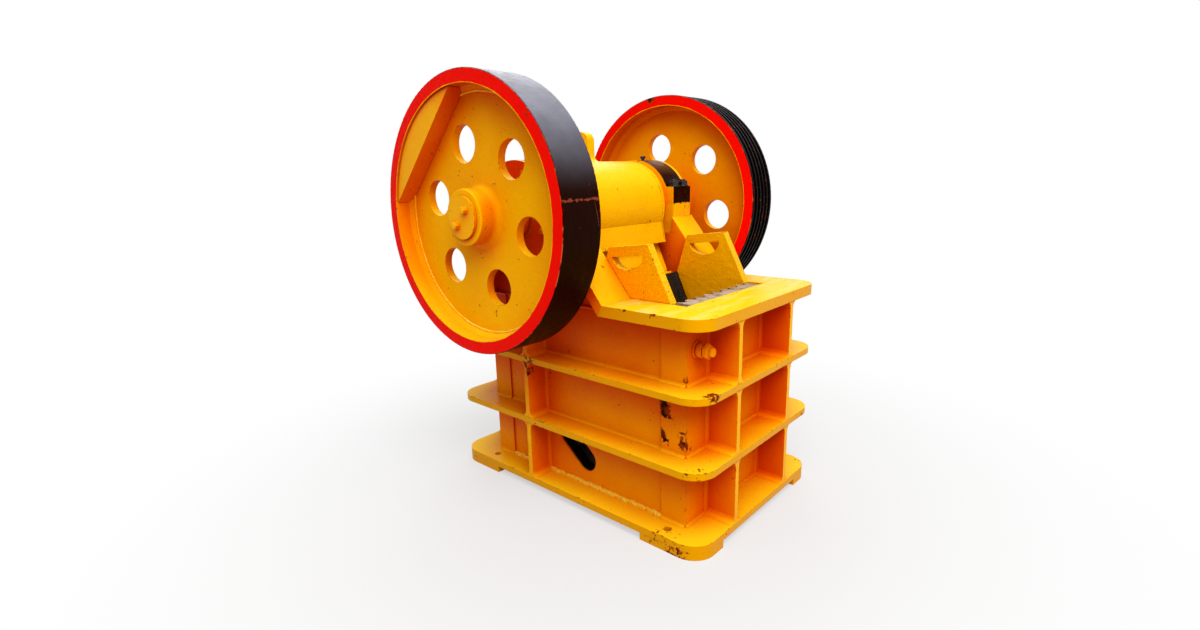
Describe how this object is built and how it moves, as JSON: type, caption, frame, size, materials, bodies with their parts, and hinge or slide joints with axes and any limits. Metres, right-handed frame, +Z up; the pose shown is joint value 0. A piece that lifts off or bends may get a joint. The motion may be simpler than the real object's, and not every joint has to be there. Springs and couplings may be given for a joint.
{
  "type": "jaw crusher",
  "caption": "Single-toggle jaw crusher on a ribbed welded frame, with toothed jaws, flywheel and grooved belt pulley.",
  "frame": {"origin": "middle of the four foundation bolts, at the underside of the feet", "axes": "+Z up, -Y towards the feed end, X along the shaft with the flywheel at -X and the belt pulley at +X"},
  "size_m": [1.15, 1.117, 1.38],
  "materials": {
    "frame_enamel": "gloss yellow enamel",
    "cap_enamel": "gloss dark brown black enamel",
    "bright_steel": "ground",
    "dark_steel": "oiled black",
    "bare_manganese_steel": "bare cast",
    "black_manganese_steel": "black paint over cast"
  },
  "bodies": {
    "frame": {"feet": "frame_enamel", "base_flange": "frame_enamel", "lower_rib": "frame_enamel", "upper_rib": "frame_enamel", "top_plate": "frame_enamel", "rear_top_plate": "frame_enamel", "slope_flange_left": "frame_enamel", "slope_flange_right": "frame_enamel", "rear_slope_flanges": "frame_enamel", "side_wall_left": "frame_enamel", "side_wall_right": "frame_enamel", "front_wall": "frame_enamel", "rear_wall": "frame_enamel", "front_ribs": "frame_enamel", "rear_ribs": "frame_enamel", "side_ribs": "frame_enamel", "bearing_seat_left": "frame_enamel", "bearing_seat_right": "frame_enamel", "bearing_cap_left": "cap_enamel", "bearing_cap_right": "cap_enamel", "main_bearings": "bright_steel", "bearing_covers": "frame_enamel", "inner_seals": "frame_enamel", "oil_cups": "cap_enamel", "fixed_jaw_plate": "bare_manganese_steel", "cheek_plate_left": "frame_enamel", "cheek_plate_right": "frame_enamel", "front_studs": "frame_enamel", "toggle_plate": "frame_enamel", "adjusting_block": "frame_enamel", "adjusting_shims": "bare_manganese_steel", "adjusting_screws": "dark_steel", "tension_rod": "dark_steel", "spring_seats": "dark_steel", "tension_spring": "dark_steel"},
    "rotor": {"eccentric_shaft": "bright_steel", "flywheel": "frame_enamel", "belt_pulley": "frame_enamel", "flywheel_counterweight": "frame_enamel", "pulley_counterweight": "frame_enamel", "shaft_end_discs": "frame_enamel"},
    "swing_jaw": {"swing_jaw": "frame_enamel", "swing_jaw_plate": "black_manganese_steel", "jaw_wedge": "frame_enamel", "guard_plate": "frame_enamel", "jaw_end_rings": "frame_enamel", "rod_pin": "dark_steel"}
  },
  "joints": [
    {"name": "shaft_turn", "type": "hinge", "parent": "frame", "child": "rotor", "pos_m": [0, 0.165, 0.965], "axis": [1, 0, 0], "continuous": true},
    {"name": "jaw_orbit", "type": "hinge", "parent": "rotor", "child": "swing_jaw", "pos_m": [0, 0.15793, 0.95793], "axis": [1, 0, 0], "continuous": true}
  ],
  "couplings": [
    {"joint": "jaw_orbit", "follows": "shaft_turn", "ratio": -1}
  ]
}
